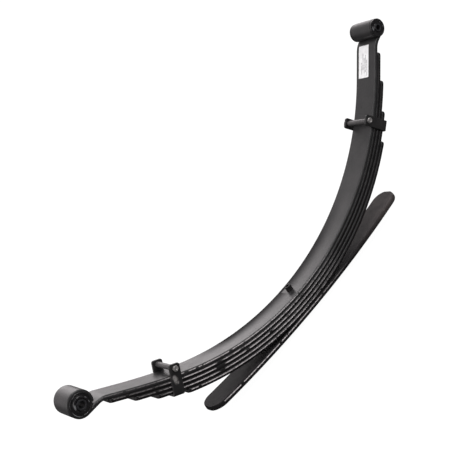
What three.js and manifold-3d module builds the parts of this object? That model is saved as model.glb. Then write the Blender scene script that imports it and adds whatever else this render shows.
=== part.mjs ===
// Multi-leaf spring pack for a truck axle, in millimetres.
// +X runs from the front eye to the rear (shackle) eye, +Y across the leaves, +Z up, towards the
// concave side. The origin is on the centre bolt's axis, on the main leaf's upper face, where the
// axle perch sits.

import * as THREE from "three";
import { mergeVertices } from "three/addons/utils/BufferGeometryUtils.js";
import Module from "manifold-3d";

// ---- Driving dimensions ----
const LEAF_WIDTH = 63.5;
const LEAF_THICKNESS = 9;
const GAP = 0.3; // clearance between touching pieces
const LEAF_PITCH = LEAF_THICKNESS + GAP;
const EDGE_CHAMFER = 1.4;
const SEAT_HALF = 14; // half length of the flat under the axle perch
const SEAT_CORNER = 12; // across the leaf, past the edges of the centre bolt's head and nut

// The main leaf's upper face, from the seat outwards. A positive turn bends it up.
const ARCH_RADIUS = 648;
const REAR_RUN = [
  { radius: ARCH_RADIUS, turn: 46.2, steps: 18 },
  { length: 65.5 },
  { radius: 45, turn: -28.5, steps: 4 },
  { length: 19 },
];
const FRONT_RUN = [
  { radius: ARCH_RADIUS, turn: 27.3, steps: 11 },
  { radius: 1500, turn: 4.5, steps: 3 },
  { length: 52 },
  { radius: 38, turn: -31.5, steps: 4 },
  { length: 28 },
];
const EYE_WRAP = 304; // degrees of roll round each bushing
const EYE_STEPS = 24;

// Each shorter leaf reaches from a front station to a rear one, measured along X.
const SHORT_LEAVES = [
  { name: "second_leaf", front: -450, rear: 515.5 },
  { name: "third_leaf", front: -406, rear: 473 },
  { name: "fourth_leaf", front: -366, rear: 425.5 },
  { name: "fifth_leaf", front: -309, rear: 375 },
];
const TIP_CORNER = 8; // corner radius of a square-cut tip, seen from above

const OVERLOAD = { thickness: 11, radius: 2850, front: -305, rear: 349.5, stepLength: 34 };

const FRONT_EYE = {
  name: "front",
  bore: 18.5,
  flange: 23,
  flangeThickness: 3,
  boss: 16.2,
  bossHeight: 2,
  sleeve: 10.5,
  sleeveBore: 7,
};
const REAR_EYE = {
  name: "rear",
  bore: 12,
  flange: 20.5,
  flangeThickness: 4.5,
  boss: 9.8,
  bossHeight: 0.8,
  sleeve: 8.5,
  sleeveBore: 5.7,
};
const ROUND_SIDES = 32;

const CENTER_BOLT = {
  shank: 5,
  head: 7.4,
  headHeight: 12,
  headChamfer: 1,
  socketAcrossFlats: 8,
  socketDepth: 5,
  nutAcrossFlats: 17,
  nutHeight: 8,
  tail: 3,
};

const CLIPS = [
  { name: "front", station: -328 },
  { name: "rear", station: 400.5 },
];
const CLIP = {
  width: 24,
  thickness: 5,
  sideGap: 0.6,
  armTop: 22.3,
  cornerRadius: 6,
  armCorner: 5,
  leaves: 4,
  boltHeight: 13,
  boltShank: 3.2,
  headAcrossFlats: 11.1,
  headHeight: 4.4,
  nutHeight: 5.6,
  tail: 3.5,
  spacer: 5.7,
  rivetHead: 8,
  rivetHeadHeight: 4,
};

const LABEL = { front: 478, rear: 529, yLow: -10.5, yHigh: 22.5, thickness: 0.4 };

// ---- Materials ----
const finish = (color, roughness, metalness) => ({ color, roughness, metalness });
const LEAF_PAINT = finish(0x2a292b, 0.42, 0.2);
const OVERLOAD_PAINT = finish(0x262528, 0.5, 0.2);
const CLIP_PAINT = finish(0x1b1b1d, 0.38, 0.25);
const BOLT_BLACK = finish(0x171718, 0.45, 0.5);
const CLIP_BOLT_GREY = finish(0x6f6e6e, 0.4, 0.6);
const BUSHING_BLACK = finish(0x121214, 0.35, 0.0);
const SLEEVE_STEEL = finish(0x2c2c2f, 0.4, 0.7);
const LABEL_WHITE = finish(0xe9e9e6, 0.6, 0.0);

// ---- Solids ----
const wasm = await Module();
wasm.setup();

function toSolid(geometry) {
  const bare = geometry.clone();
  bare.deleteAttribute("normal");
  bare.deleteAttribute("uv");
  const merged = mergeVertices(bare, 1e-4);
  return new wasm.Manifold(
    new wasm.Mesh({
      numProp: 3,
      vertProperties: merged.getAttribute("position").array,
      triVerts: new Uint32Array(merged.getIndex().array),
    }),
  );
}

function toGeometry(solid) {
  const mesh = solid.getMesh();
  const geometry = new THREE.BufferGeometry();
  geometry.setAttribute("position", new THREE.BufferAttribute(mesh.vertProperties, 3));
  geometry.setIndex(new THREE.BufferAttribute(mesh.triVerts, 1));
  const flat = geometry.toNonIndexed();
  flat.computeVertexNormals();
  return flat;
}

const radians = THREE.MathUtils.degToRad;
const group = new THREE.Group();

function addPart(parent, name, solid, material) {
  const mesh = new THREE.Mesh(toGeometry(solid), new THREE.MeshStandardMaterial(material));
  mesh.name = name;
  parent.add(mesh);
  return mesh;
}

// Gives a level face a corner at a point, by parting the triangle under it in three. The shape stays
// as it is, and the face then has a triangle that keeps clear of the bolt.
function partFace(mesh, point) {
  const position = mesh.geometry.getAttribute("position");
  const parted = [];
  for (let i = 0; i < position.count; i += 3) {
    const corners = [0, 1, 2].map((k) => new THREE.Vector3().fromBufferAttribute(position, i + k));
    const level = corners.every(({ z }) => Math.abs(z - point.z) < GAP / 10);
    const around = level && THREE.Triangle.containsPoint(point, ...corners);
    const pieces = around
      ? corners.map((corner, k) => [corner, corners[(k + 1) % 3], point])
      : [corners];
    pieces.flat().forEach(({ x, y, z }) => parted.push(x, y, z));
  }
  mesh.geometry.setAttribute("position", new THREE.Float32BufferAttribute(parted, 3));
  mesh.geometry.computeVertexNormals();
}

// A cylinder or hexagon along Y, from one Y to another.
function alongY(radius, yFrom, yTo, x = 0, z = 0, sides = ROUND_SIDES) {
  const rod = new THREE.CylinderGeometry(radius, radius, yTo - yFrom, sides);
  return toSolid(rod.translate(x, (yFrom + yTo) / 2, z));
}

// A cylinder or hexagon along Z, from one Z to another.
function alongZ(radius, zFrom, zTo, x = 0, y = 0, sides = ROUND_SIDES) {
  const rod = new THREE.CylinderGeometry(radius, radius, zTo - zFrom, sides);
  return toSolid(rod.rotateX(Math.PI / 2).translate(x, y, (zFrom + zTo) / 2));
}

const hexRadius = (acrossFlats) => acrossFlats / 2 / Math.cos(Math.PI / 6);

// A profile of [x, z] points extruded across the spring, with its long edges chamfered.
function acrossY(points, width, chamfer, yMiddle = 0) {
  const shape = new THREE.Shape(points.map(([x, z]) => new THREE.Vector2(x, z)));
  const geometry = new THREE.ExtrudeGeometry(shape, {
    depth: width - 2 * chamfer,
    steps: 1,
    bevelEnabled: chamfer > 0,
    bevelThickness: chamfer,
    bevelSize: chamfer,
    bevelOffset: -chamfer,
    bevelSegments: 1,
  });
  return toSolid(geometry.rotateX(Math.PI / 2).translate(0, yMiddle + width / 2 - chamfer, 0));
}

// A rectangle with rounded corners, from (left, low) to (right, high).
function roundedRectangle(left, right, low, high, radius) {
  const shape = new THREE.Shape();
  shape.absarc(right - radius, high - radius, radius, 0, Math.PI / 2);
  shape.absarc(left + radius, high - radius, radius, Math.PI / 2, Math.PI);
  shape.absarc(left + radius, low + radius, radius, Math.PI, 1.5 * Math.PI);
  shape.absarc(right - radius, low + radius, radius, 1.5 * Math.PI, 2 * Math.PI);
  return shape;
}

// ---- The main leaf's upper face, as samples of place and heading ----
function walk(run) {
  const startHeading = Math.asin(SEAT_HALF / ARCH_RADIUS);
  const samples = [{ x: SEAT_HALF, z: 0, heading: startHeading }];
  for (const { radius, turn = 0, steps = 1, length } of run) {
    const step = radians(turn) / steps;
    const chord = length ?? 2 * radius * Math.sin(Math.abs(step) / 2);
    for (let i = 0; i < steps; i += 1) {
      const last = samples[samples.length - 1];
      const along = last.heading + step / 2;
      samples.push({
        x: last.x + chord * Math.cos(along),
        z: last.z + chord * Math.sin(along),
        heading: last.heading + step,
      });
    }
  }
  return samples;
}

const mirrored = ({ x, z, heading }) => ({ x: -x, z, heading: -heading });
const rearPath = walk(REAR_RUN);
const frontPath = walk(FRONT_RUN);
const archPath = [...frontPath.map(mirrored).reverse(), ...rearPath];

// The point at a height above (or, negative, below) the upper face.
const raised = ({ x, z, heading }, height) => [
  x - height * Math.sin(heading),
  z + height * Math.cos(heading),
];

// The sample at a station along X.
function sampleAt(path, station) {
  const after = path.findIndex(({ x }) => x > station);
  const [a, b] = [path[after - 1], path[after]];
  const share = (station - a.x) / (b.x - a.x);
  const between = (key) => a[key] + share * (b[key] - a[key]);
  return { x: station, z: between("z"), heading: between("heading") };
}

function stretch(path, front, rear) {
  const inside = path.filter(({ x }) => x > front && x < rear);
  return [sampleAt(path, front), ...inside, sampleAt(path, rear)];
}

// The closed side profile between two heights along a stretch of path.
const band = (samples, low, high) => [
  ...samples.map((s) => raised(s, low)),
  ...samples.map((s) => raised(s, high)).reverse(),
];

// ---- Eyes ----
// The eye's centre stands over the end of the path, one bore radius up its normal.
function eyeCentre(path, eye) {
  const end = path[path.length - 1];
  const side = path === frontPath ? -1 : 1;
  const [x, z] = raised(end, eye.bore);
  return { x: side * x, z, side, heading: end.heading };
}

// The rolled end as inner and outer points, from the tangent point round to the leaf's own face.
function rolledEnd(eye, centre) {
  const ring = (radius) =>
    Array.from({ length: EYE_STEPS }, (_, i) => {
      const angle = centre.heading - Math.PI / 2 + (radians(EYE_WRAP) * (i + 1)) / EYE_STEPS;
      return [
        centre.x + centre.side * radius * Math.cos(angle),
        centre.z + radius * Math.sin(angle),
      ];
    });
  return { inner: ring(eye.bore), outer: ring(eye.bore + LEAF_THICKNESS) };
}

const frontCentre = eyeCentre(frontPath, FRONT_EYE);
const rearCentre = eyeCentre(rearPath, REAR_EYE);

// ---- Leaves ----
const boltHole = (low, high) => alongZ(CENTER_BOLT.shank + GAP, low, high);
const overloadTop = -5 * LEAF_PITCH;
const overloadBottom = overloadTop - OVERLOAD.thickness;

function mainLeaf() {
  const front = rolledEnd(FRONT_EYE, frontCentre);
  const rear = rolledEnd(REAR_EYE, rearCentre);
  const lower = archPath.map((s) => raised(s, -LEAF_THICKNESS));
  const upper = archPath.map((s) => raised(s, 0));
  const outline = [
    ...front.outer.reverse(),
    ...lower,
    ...rear.outer,
    ...rear.inner.reverse(),
    ...upper.reverse(),
    ...front.inner,
  ];
  return acrossY(outline, LEAF_WIDTH, EDGE_CHAMFER).subtract(boltHole(-LEAF_PITCH, LEAF_PITCH));
}

// A plan outline, cut straight down through a leaf, that rounds the corners of its tips.
function planCut(front, rear, corner, low, high) {
  const half = LEAF_WIDTH / 2 + (corner < LEAF_WIDTH / 2 ? 1 : 0);
  const shape = roundedRectangle(front, rear, -half, half, corner);
  const geometry = new THREE.ExtrudeGeometry(shape, {
    depth: high - low,
    bevelEnabled: false,
    curveSegments: corner > TIP_CORNER ? 10 : 4,
  });
  return toSolid(geometry.translate(0, 0, low));
}

function shortLeaf({ front, rear }, below) {
  const high = -below * LEAF_PITCH;
  const samples = stretch(archPath, front, rear);
  const outline = band(samples, high - LEAF_THICKNESS, high);
  const xs = outline.map(([x]) => x);
  const cut = planCut(Math.min(...xs), Math.max(...xs), TIP_CORNER, high - LEAF_PITCH, ARCH_RADIUS);
  const hole = boltHole(high - 2 * LEAF_PITCH, high + LEAF_PITCH);
  return acrossY(outline, LEAF_WIDTH, EDGE_CHAMFER).intersect(cut).subtract(hole);
}

function overloadLeaf() {
  const sag = (x) => (x * x - SEAT_HALF * SEAT_HALF) / (2 * OVERLOAD.radius);
  const side = (reach) => {
    const steps = Math.round((Math.abs(reach) - SEAT_HALF) / OVERLOAD.stepLength);
    const start = Math.sign(reach) * SEAT_HALF;
    return Array.from({ length: steps + 1 }, (_, i) => {
      const x = start + ((reach - start) * i) / steps;
      return { x, z: sag(x), heading: Math.atan(x / OVERLOAD.radius) };
    });
  };
  const samples = [...side(OVERLOAD.front).reverse(), ...side(OVERLOAD.rear)];
  const outline = band(samples, overloadBottom, overloadTop);
  const cut = planCut(OVERLOAD.front, OVERLOAD.rear, LEAF_WIDTH / 2, overloadBottom - 1, 0);
  const hole = boltHole(overloadBottom - 1, overloadTop + 1);
  return acrossY(outline, LEAF_WIDTH, EDGE_CHAMFER).intersect(cut).subtract(hole);
}

// ---- Centre bolt ----
function centerBolt() {
  const { shank, head, headHeight, headChamfer, nutHeight, tail } = CENTER_BOLT;
  const end = overloadBottom - GAP - nutHeight - tail;
  const profile = [
    [0, end],
    [shank - headChamfer, end],
    [shank, end + headChamfer],
    [shank, GAP],
    [head, GAP],
    [head, headHeight - headChamfer],
    [head - headChamfer, headHeight],
    [0, headHeight],
  ].map(([r, z]) => new THREE.Vector2(r, z));
  const turned = new THREE.LatheGeometry(profile, ROUND_SIDES).rotateX(Math.PI / 2);
  const socketRadius = hexRadius(CENTER_BOLT.socketAcrossFlats);
  const floor = headHeight - CENTER_BOLT.socketDepth;
  return toSolid(turned).subtract(alongZ(socketRadius, floor, headHeight + 1, 0, 0, 6));
}

function centerNut() {
  const { shank, nutAcrossFlats, nutHeight } = CENTER_BOLT;
  const top = overloadBottom - GAP;
  const body = alongZ(hexRadius(nutAcrossFlats), top - nutHeight, top, 0, 0, 6);
  return body.subtract(alongZ(shank + GAP, top - nutHeight - 1, top + 1));
}

// ---- Eye bushings and sleeves ----
// One flanged half, from the middle of the eye out past one side of the leaf.
function bushingHalf(eye, centre, side) {
  const face = LEAF_WIDTH / 2 + GAP;
  const place = (radius, from, to) => {
    const [low, high] = [side * from, side * to].sort((a, b) => a - b);
    return alongY(radius, low, high, centre.x, centre.z);
  };
  const flangeEnd = face + eye.flangeThickness;
  const bossEnd = flangeEnd + eye.bossHeight;
  return place(eye.bore - GAP, GAP, face + 1)
    .add(place(eye.flange, face, flangeEnd))
    .add(place(eye.boss + GAP, flangeEnd - 1, bossEnd))
    .subtract(place(eye.sleeve + GAP, -1, bossEnd + 1));
}

function sleeve(eye, centre) {
  const reach = LEAF_WIDTH / 2 + eye.flangeThickness + eye.bossHeight + 2 * GAP + 1;
  const tube = alongY(eye.sleeve, -reach, reach, centre.x, centre.z);
  return tube.subtract(alongY(eye.sleeveBore, -reach - 1, reach + 1, centre.x, centre.z));
}

// ---- Rebound clips, built level at the origin and then set on the leaf ----
const armOuter = LEAF_WIDTH / 2 + CLIP.sideGap + CLIP.thickness;
const armInner = LEAF_WIDTH / 2 + CLIP.sideGap;
const clipFloor = -CLIP.leaves * LEAF_PITCH;
const clipBottom = clipFloor - CLIP.thickness;

function clipStrap() {
  const outline = roundedRectangle(
    -armOuter,
    armOuter,
    clipBottom,
    CLIP.armTop + CLIP.cornerRadius,
    CLIP.cornerRadius,
  );
  const inside = new THREE.Path();
  inside.moveTo(-armInner, clipFloor);
  inside.lineTo(-armInner, CLIP.armTop + 1);
  inside.lineTo(armInner, CLIP.armTop + 1);
  inside.lineTo(armInner, clipFloor);
  inside.closePath();
  outline.holes.push(inside);
  const extrude = { depth: CLIP.width, bevelEnabled: false, curveSegments: 4 };
  const ring = toSolid(
    new THREE.ExtrudeGeometry(outline, extrude)
      .rotateX(Math.PI / 2)
      .rotateZ(Math.PI / 2)
      .translate(-CLIP.width / 2, 0, 0),
  );
  const side = roundedRectangle(
    -CLIP.width / 2,
    CLIP.width / 2,
    clipBottom - CLIP.armCorner,
    CLIP.armTop,
    CLIP.armCorner,
  );
  const sideCut = toSolid(
    new THREE.ExtrudeGeometry(side, { depth: 3 * armOuter, bevelEnabled: false, curveSegments: 4 })
      .rotateX(Math.PI / 2)
      .translate(0, 1.5 * armOuter, 0),
  );
  const boltBore = alongY(CLIP.boltShank + GAP, -2 * armOuter, 2 * armOuter, 0, CLIP.boltHeight);
  const rivetBore = alongZ(CLIP.boltShank + GAP, clipBottom - 1, clipFloor + 1);
  return ring.intersect(sideCut).subtract(boltBore).subtract(rivetBore);
}

function clipBolt() {
  const head = alongY(
    hexRadius(CLIP.headAcrossFlats),
    -armOuter - GAP - CLIP.headHeight,
    -armOuter - GAP,
    0,
    CLIP.boltHeight,
    6,
  );
  const end = armOuter + GAP + CLIP.nutHeight + CLIP.tail;
  return head.add(alongY(CLIP.boltShank, -armOuter - GAP - 1, end, 0, CLIP.boltHeight));
}

function clipNut() {
  const low = armOuter + GAP;
  const high = low + CLIP.nutHeight;
  const body = alongY(hexRadius(CLIP.headAcrossFlats), low, high, 0, CLIP.boltHeight, 6);
  return body.subtract(alongY(CLIP.boltShank + GAP, low - 1, high + 1, 0, CLIP.boltHeight));
}

function clipSpacer() {
  const half = armInner - GAP;
  const tube = alongY(CLIP.spacer, -half, half, 0, CLIP.boltHeight);
  return tube.subtract(alongY(CLIP.boltShank + GAP, -half - 1, half + 1, 0, CLIP.boltHeight));
}

// A round-head rivet up through the strap's base and the lowest leaf in the clip.
function clipRivet() {
  const top = -(CLIP.leaves - 1) * LEAF_PITCH - GAP;
  const under = clipBottom - GAP;
  const dome = Array.from({ length: 6 }, (_, i) => {
    const angle = (Math.PI / 2) * (i / 5);
    return [CLIP.rivetHead * Math.sin(angle), under - CLIP.rivetHeadHeight * Math.cos(angle)];
  });
  const profile = [...dome, [CLIP.boltShank, under], [CLIP.boltShank, top], [0, top]];
  const points = profile.map(([r, z]) => new THREE.Vector2(r, z));
  return toSolid(new THREE.LatheGeometry(points, ROUND_SIDES).rotateX(Math.PI / 2));
}

// The clip's own frame on the leaf: X along the leaf, Z along its upper normal.
function clipFrame({ station }) {
  const seat = sampleAt(archPath, station);
  const frame = new THREE.Group();
  frame.position.set(seat.x, 0, seat.z);
  frame.rotation.y = -seat.heading;
  return frame;
}

function rivetHoleIn(clip) {
  const frame = clipFrame(clip);
  frame.updateMatrix();
  const low = clipFloor - LEAF_PITCH;
  const rod = new THREE.CylinderGeometry(
    CLIP.boltShank + GAP,
    CLIP.boltShank + GAP,
    3 * LEAF_PITCH,
    ROUND_SIDES,
  );
  rod.rotateX(Math.PI / 2).translate(0, 0, low + 1.5 * LEAF_PITCH);
  return toSolid(rod.applyMatrix4(frame.matrix));
}

// ---- Label ----
function labelPlate() {
  const samples = stretch(archPath, LABEL.front, LABEL.rear);
  const outline = band(samples, GAP, GAP + LABEL.thickness);
  return acrossY(outline, LABEL.yHigh - LABEL.yLow, 0, (LABEL.yHigh + LABEL.yLow) / 2);
}

// ---- Assembly ----
partFace(addPart(group, "main_leaf", mainLeaf(), LEAF_PAINT), new THREE.Vector3(0, SEAT_CORNER, 0));
SHORT_LEAVES.forEach((leaf, i) => {
  const below = i + 1;
  let solid = shortLeaf(leaf, below);
  if (below === CLIP.leaves - 1) {
    CLIPS.forEach((clip) => {
      solid = solid.subtract(rivetHoleIn(clip));
    });
  }
  addPart(group, leaf.name, solid, LEAF_PAINT);
});
partFace(
  addPart(group, "overload_leaf", overloadLeaf(), OVERLOAD_PAINT),
  new THREE.Vector3(0, SEAT_CORNER, overloadBottom),
);
addPart(group, "center_bolt", centerBolt(), BOLT_BLACK);
addPart(group, "center_nut", centerNut(), BOLT_BLACK);

for (const [eye, centre] of [
  [FRONT_EYE, frontCentre],
  [REAR_EYE, rearCentre],
]) {
  addPart(group, `${eye.name}_bushing_left`, bushingHalf(eye, centre, -1), BUSHING_BLACK);
  addPart(group, `${eye.name}_bushing_right`, bushingHalf(eye, centre, 1), BUSHING_BLACK);
  addPart(group, `${eye.name}_sleeve`, sleeve(eye, centre), SLEEVE_STEEL);
}

for (const clip of CLIPS) {
  const frame = clipFrame(clip);
  group.add(frame);
  addPart(frame, `${clip.name}_clip_strap`, clipStrap(), CLIP_PAINT);
  addPart(frame, `${clip.name}_clip_rivet`, clipRivet(), CLIP_PAINT);
  addPart(frame, `${clip.name}_clip_bolt`, clipBolt(), CLIP_BOLT_GREY);
  addPart(frame, `${clip.name}_clip_nut`, clipNut(), CLIP_BOLT_GREY);
  addPart(frame, `${clip.name}_clip_spacer`, clipSpacer(), CLIP_PAINT);
}

addPart(group, "label", labelPlate(), LABEL_WHITE);

export default group;
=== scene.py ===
"""A truck leaf spring, dressed over its CAD frame. Lengths are in metres and turns in degrees."""

import math

import bmesh
import bpy
from mathutils import Matrix, Vector, noise


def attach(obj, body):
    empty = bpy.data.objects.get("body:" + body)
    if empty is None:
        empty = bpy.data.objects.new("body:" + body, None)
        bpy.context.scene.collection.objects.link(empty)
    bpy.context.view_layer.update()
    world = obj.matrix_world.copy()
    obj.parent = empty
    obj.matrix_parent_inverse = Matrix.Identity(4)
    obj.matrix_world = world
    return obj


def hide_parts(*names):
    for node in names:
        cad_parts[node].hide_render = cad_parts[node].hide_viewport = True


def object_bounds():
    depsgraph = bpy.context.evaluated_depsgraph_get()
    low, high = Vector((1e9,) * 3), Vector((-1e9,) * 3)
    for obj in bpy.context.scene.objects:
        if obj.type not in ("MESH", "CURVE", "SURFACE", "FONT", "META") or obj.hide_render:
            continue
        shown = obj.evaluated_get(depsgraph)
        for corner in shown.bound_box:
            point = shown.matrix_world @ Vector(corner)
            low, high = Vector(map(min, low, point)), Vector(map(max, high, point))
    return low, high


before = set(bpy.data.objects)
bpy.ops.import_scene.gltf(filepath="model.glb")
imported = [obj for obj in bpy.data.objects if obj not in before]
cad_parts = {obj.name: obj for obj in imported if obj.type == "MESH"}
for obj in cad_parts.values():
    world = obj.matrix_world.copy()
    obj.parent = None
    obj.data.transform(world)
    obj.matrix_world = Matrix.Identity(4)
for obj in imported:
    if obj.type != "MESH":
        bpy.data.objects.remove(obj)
CAD_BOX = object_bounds()

# ---- Driving dimensions, the same as the CAD's ----
LEAF_WIDTH = 0.0635
LEAF_THICKNESS = 0.009
GAP = 0.0003
LEAF_PITCH = LEAF_THICKNESS + GAP
SEAT_HALF = 0.014
ARCH_RADIUS = 0.648
REAR_RUN = [
    {"radius": ARCH_RADIUS, "turn": 46.2},
    {"length": 0.0655},
    {"radius": 0.045, "turn": -28.5},
    {"length": 0.019},
]
FRONT_RUN = [
    {"radius": ARCH_RADIUS, "turn": 27.3},
    {"radius": 1.5, "turn": 4.5},
    {"length": 0.052},
    {"radius": 0.038, "turn": -31.5},
    {"length": 0.028},
]
EYE_WRAP = 304
SHORT_LEAVES = [
    ("second_leaf", -0.450, 0.5155),
    ("third_leaf", -0.406, 0.473),
    ("fourth_leaf", -0.366, 0.4255),
    ("fifth_leaf", -0.309, 0.375),
]
OVERLOAD = {"thickness": 0.011, "radius": 2.85, "front": -0.305, "rear": 0.3495}
FRONT_EYE = {
    "name": "front", "bore": 0.0185, "flange": 0.023, "flange_thickness": 0.003,
    "boss": 0.0162, "boss_height": 0.002, "sleeve": 0.0105, "sleeve_bore": 0.007,
}
REAR_EYE = {
    "name": "rear", "bore": 0.012, "flange": 0.0205, "flange_thickness": 0.0045,
    "boss": 0.0098, "boss_height": 0.0008, "sleeve": 0.0085, "sleeve_bore": 0.0057,
}
CENTER_BOLT = {
    "shank": 0.005, "head": 0.0074, "head_height": 0.012, "socket_flats": 0.008,
    "socket_depth": 0.005, "nut_flats": 0.017, "nut_height": 0.008, "tail": 0.003,
}
CLIPS = [("front", -0.328), ("rear", 0.4005)]
CLIP = {
    "width": 0.024, "thickness": 0.005, "side_gap": 0.0006, "arm_top": 0.0223,
    "inner_bend": 0.001, "arm_corner": 0.005, "leaves": 4, "bolt_height": 0.013,
    "bolt_shank": 0.0032, "head_flats": 0.0111, "head_height": 0.0044, "nut_height": 0.0056,
    "tail": 0.0035, "spacer": 0.0057, "rivet_head": 0.008, "rivet_head_height": 0.004,
}
LABEL = {"front": 0.478, "rear": 0.529, "y_low": -0.0105, "y_high": 0.0225, "thickness": 0.0003}

# ---- Finer dimensions of the finished surfaces ----
EDGE_ROUND = 0.0021  # rolled edge of a leaf
EDGE_TALL, EDGE_WIDE = 1.7, 0.8  # its height and its width, as shares of that
SUPPORT = 0.0007  # width of the strip that keeps a flat face flat beside its round edge
TIP_CORNER = 0.008
SWEEP_STEP = 0.004
MAX_TURN = 5.0  # largest turn between two stations
CORNER_STEPS = 5
HIGHLIGHT_CORNER = [0.0, 1.0, 0.6, 0.0, 0.0, 0.0, 0.0, 0.0]  # painted highlight weight along the rounded edge, from the side up onto the top
ROUND_STEPS = 96
CREASE_ANGLE = 38.0

CAMERA_PLACE = (-0.8243, -1.6393, 0.8993)
CAMERA_AZIMUTH = -25.762
CAMERA_ELEVATION = 20.660
CAMERA_ROLL = 37.171
CAMERA_LENS = 75.3
CAMERA_SHIFT = (0.0033, 0.0006)


# ---- Camera, floor and light ----
def make_camera():
    data = bpy.data.cameras.new("camera")
    data.lens = CAMERA_LENS
    data.sensor_width = 36
    data.shift_x, data.shift_y = CAMERA_SHIFT
    data.clip_end = 100
    camera = bpy.data.objects.new("camera", data)
    bpy.context.scene.collection.objects.link(camera)
    azimuth, elevation = math.radians(CAMERA_AZIMUTH), math.radians(CAMERA_ELEVATION)
    back = Vector((
        math.sin(azimuth) * math.cos(elevation),
        -math.cos(azimuth) * math.cos(elevation),
        math.sin(elevation),
    ))
    level = (-back).to_track_quat("-Z", "Y").to_matrix().to_4x4()
    roll = Matrix.Rotation(math.radians(-CAMERA_ROLL), 4, "Z")
    camera.matrix_world = Matrix.Translation(CAMERA_PLACE) @ level @ roll
    bpy.context.scene.camera = camera


def node(tree, kind, **values):
    """A shader node. A value is set on the input, or else the property, of that name."""
    made = tree.nodes.new(kind)
    for name, value in values.items():
        label = name.replace("_", " ").title() if name.islower() else name
        if label in made.inputs:
            made.inputs[label].default_value = value
        else:
            setattr(made, name, value)
    return made


def ramp(tree, source, stops):
    """A colour ramp on a socket. Each stop is (position, grey or RGB)."""
    made = tree.nodes.new("ShaderNodeValToRGB")
    elements = made.color_ramp.elements
    while len(elements) < len(stops):
        elements.new(0.5)
    for element, (position, tone) in zip(elements, stops):
        element.position = position
        element.color = (tone, tone, tone, 1) if isinstance(tone, float) else (*tone, 1)
    tree.links.new(source, made.inputs["Fac"])
    return made.outputs["Color"]


def map_range(tree, source, start, end, to_start=0.0, to_end=1.0, smooth_ends=False):
    """Carries a socket from one range to another and clamps it."""
    made = node(tree, "ShaderNodeMapRange", interpolation_type="SMOOTHSTEP" if smooth_ends else "LINEAR")
    made.inputs["From Min"].default_value = start
    made.inputs["From Max"].default_value = end
    made.inputs["To Min"].default_value = to_start
    made.inputs["To Max"].default_value = to_end
    tree.links.new(source, made.inputs["Value"])
    return made.outputs["Result"]


def vector_node(tree, operation, source, vector=None):
    """A vector maths node on a socket, with a fixed second vector if it takes one."""
    made = tree.nodes.new("ShaderNodeVectorMath")
    made.operation = operation
    tree.links.new(source, made.inputs[0])
    if vector is not None:
        made.inputs[1].default_value = vector
    return made.outputs


def make_world():
    """A studio dome: a broad low glow behind the spring, dim in front of it."""
    world = bpy.data.worlds.new("studio")
    bpy.context.scene.world = world
    world.use_nodes = True
    tree = world.node_tree
    background = tree.nodes["Background"]
    background.inputs["Color"].default_value = (1.0, 0.955, 0.965, 1)
    place = tree.nodes.new("ShaderNodeTexCoord").outputs["Generated"]
    light = None
    for direction, floor, ceiling, amount in DOME_GLOWS:
        toward = vector_node(tree, "DOT_PRODUCT", place, Vector(direction).normalized())
        glow = map_range(tree, toward["Value"], floor, ceiling, 0.0, amount, smooth_ends=True)
        light = math_node(tree, "ADD", light or DOME_BASE, glow)
    tree.links.new(light, background.inputs["Strength"])


DOME_BASE = 0.16
DOME_GLOWS = [  # direction, cosines where the glow starts and is full, brightness
    ((0.0, 1.0, 0.25), -0.2, 0.9, 0.5),
    ((0.50, 0.86, 0.10), 0.76, 0.97, 1.9),
    ((-0.75, -0.25, 0.6), 0.55, 0.95, 0.8),
]


def make_sun(name, direction, strength, angle):
    """A soft sun that shines from a direction towards the spring."""
    data = bpy.data.lights.new(name, "SUN")
    data.energy = strength
    data.angle = math.radians(angle)
    sun = bpy.data.objects.new(name, data)
    sun.rotation_mode = "QUATERNION"
    sun.rotation_quaternion = Vector(direction).to_track_quat("Z", "Y")
    bpy.context.scene.collection.objects.link(sun)


def make_floor():
    """A pale floor that takes only a faint shadow. It shines back less light than it shows."""
    half = 40.0
    clearance = 0.0015
    z = CAD_BOX[0].z - clearance
    mesh = bpy.data.meshes.new("floor")
    corners = [(-half, -half, z), (half, -half, z), (half, half, z), (-half, half, z)]
    mesh.from_pydata(corners, [], [(0, 1, 2, 3)])
    floor = bpy.data.objects.new("floor", mesh)
    bpy.context.scene.collection.objects.link(floor)
    material = bpy.data.materials.new("floor_paper")
    material.use_nodes = True
    tree = material.node_tree
    tree.nodes.remove(tree.nodes["Principled BSDF"])
    shown = node(tree, "ShaderNodeEmission", color=(0.965, 0.965, 0.965, 1))
    shaded = node(tree, "ShaderNodeBsdfDiffuse", color=(0.08, 0.08, 0.08, 1))
    both = tree.nodes.new("ShaderNodeAddShader")
    tree.links.new(shown.outputs[0], both.inputs[0])
    tree.links.new(shaded.outputs[0], both.inputs[1])
    dim = node(tree, "ShaderNodeBsdfDiffuse", color=(0.09, 0.09, 0.09, 1))
    mix = tree.nodes.new("ShaderNodeMixShader")
    seen = tree.nodes.new("ShaderNodeLightPath").outputs["Is Camera Ray"]
    tree.links.new(seen, mix.inputs[0])
    tree.links.new(dim.outputs[0], mix.inputs[1])
    tree.links.new(both.outputs[0], mix.inputs[2])
    tree.links.new(mix.outputs[0], tree.nodes["Material Output"].inputs["Surface"])
    mesh.materials.append(material)


make_camera()
bpy.context.scene.view_settings.view_transform = "Standard"


# ---- Materials ----
def new_material(name, color, roughness, metallic=0.0):
    material = bpy.data.materials.new(name)
    material.use_nodes = True
    surface = material.node_tree.nodes["Principled BSDF"]
    surface.inputs["Base Color"].default_value = (*color, 1)
    surface.inputs["Roughness"].default_value = roughness
    surface.inputs["Metallic"].default_value = metallic
    return material, material.node_tree, surface


def object_place(tree):
    return tree.nodes.new("ShaderNodeTexCoord").outputs["Object"]


def grain(tree, scale, detail=3.0, roughness=0.55, place=None):
    """Noise over the object's own metres. Scale is features per metre."""
    texture = node(tree, "ShaderNodeTexNoise", scale=scale, detail=detail, roughness=roughness)
    tree.links.new(place or object_place(tree), texture.inputs["Vector"])
    return texture.outputs["Fac"]


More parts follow.
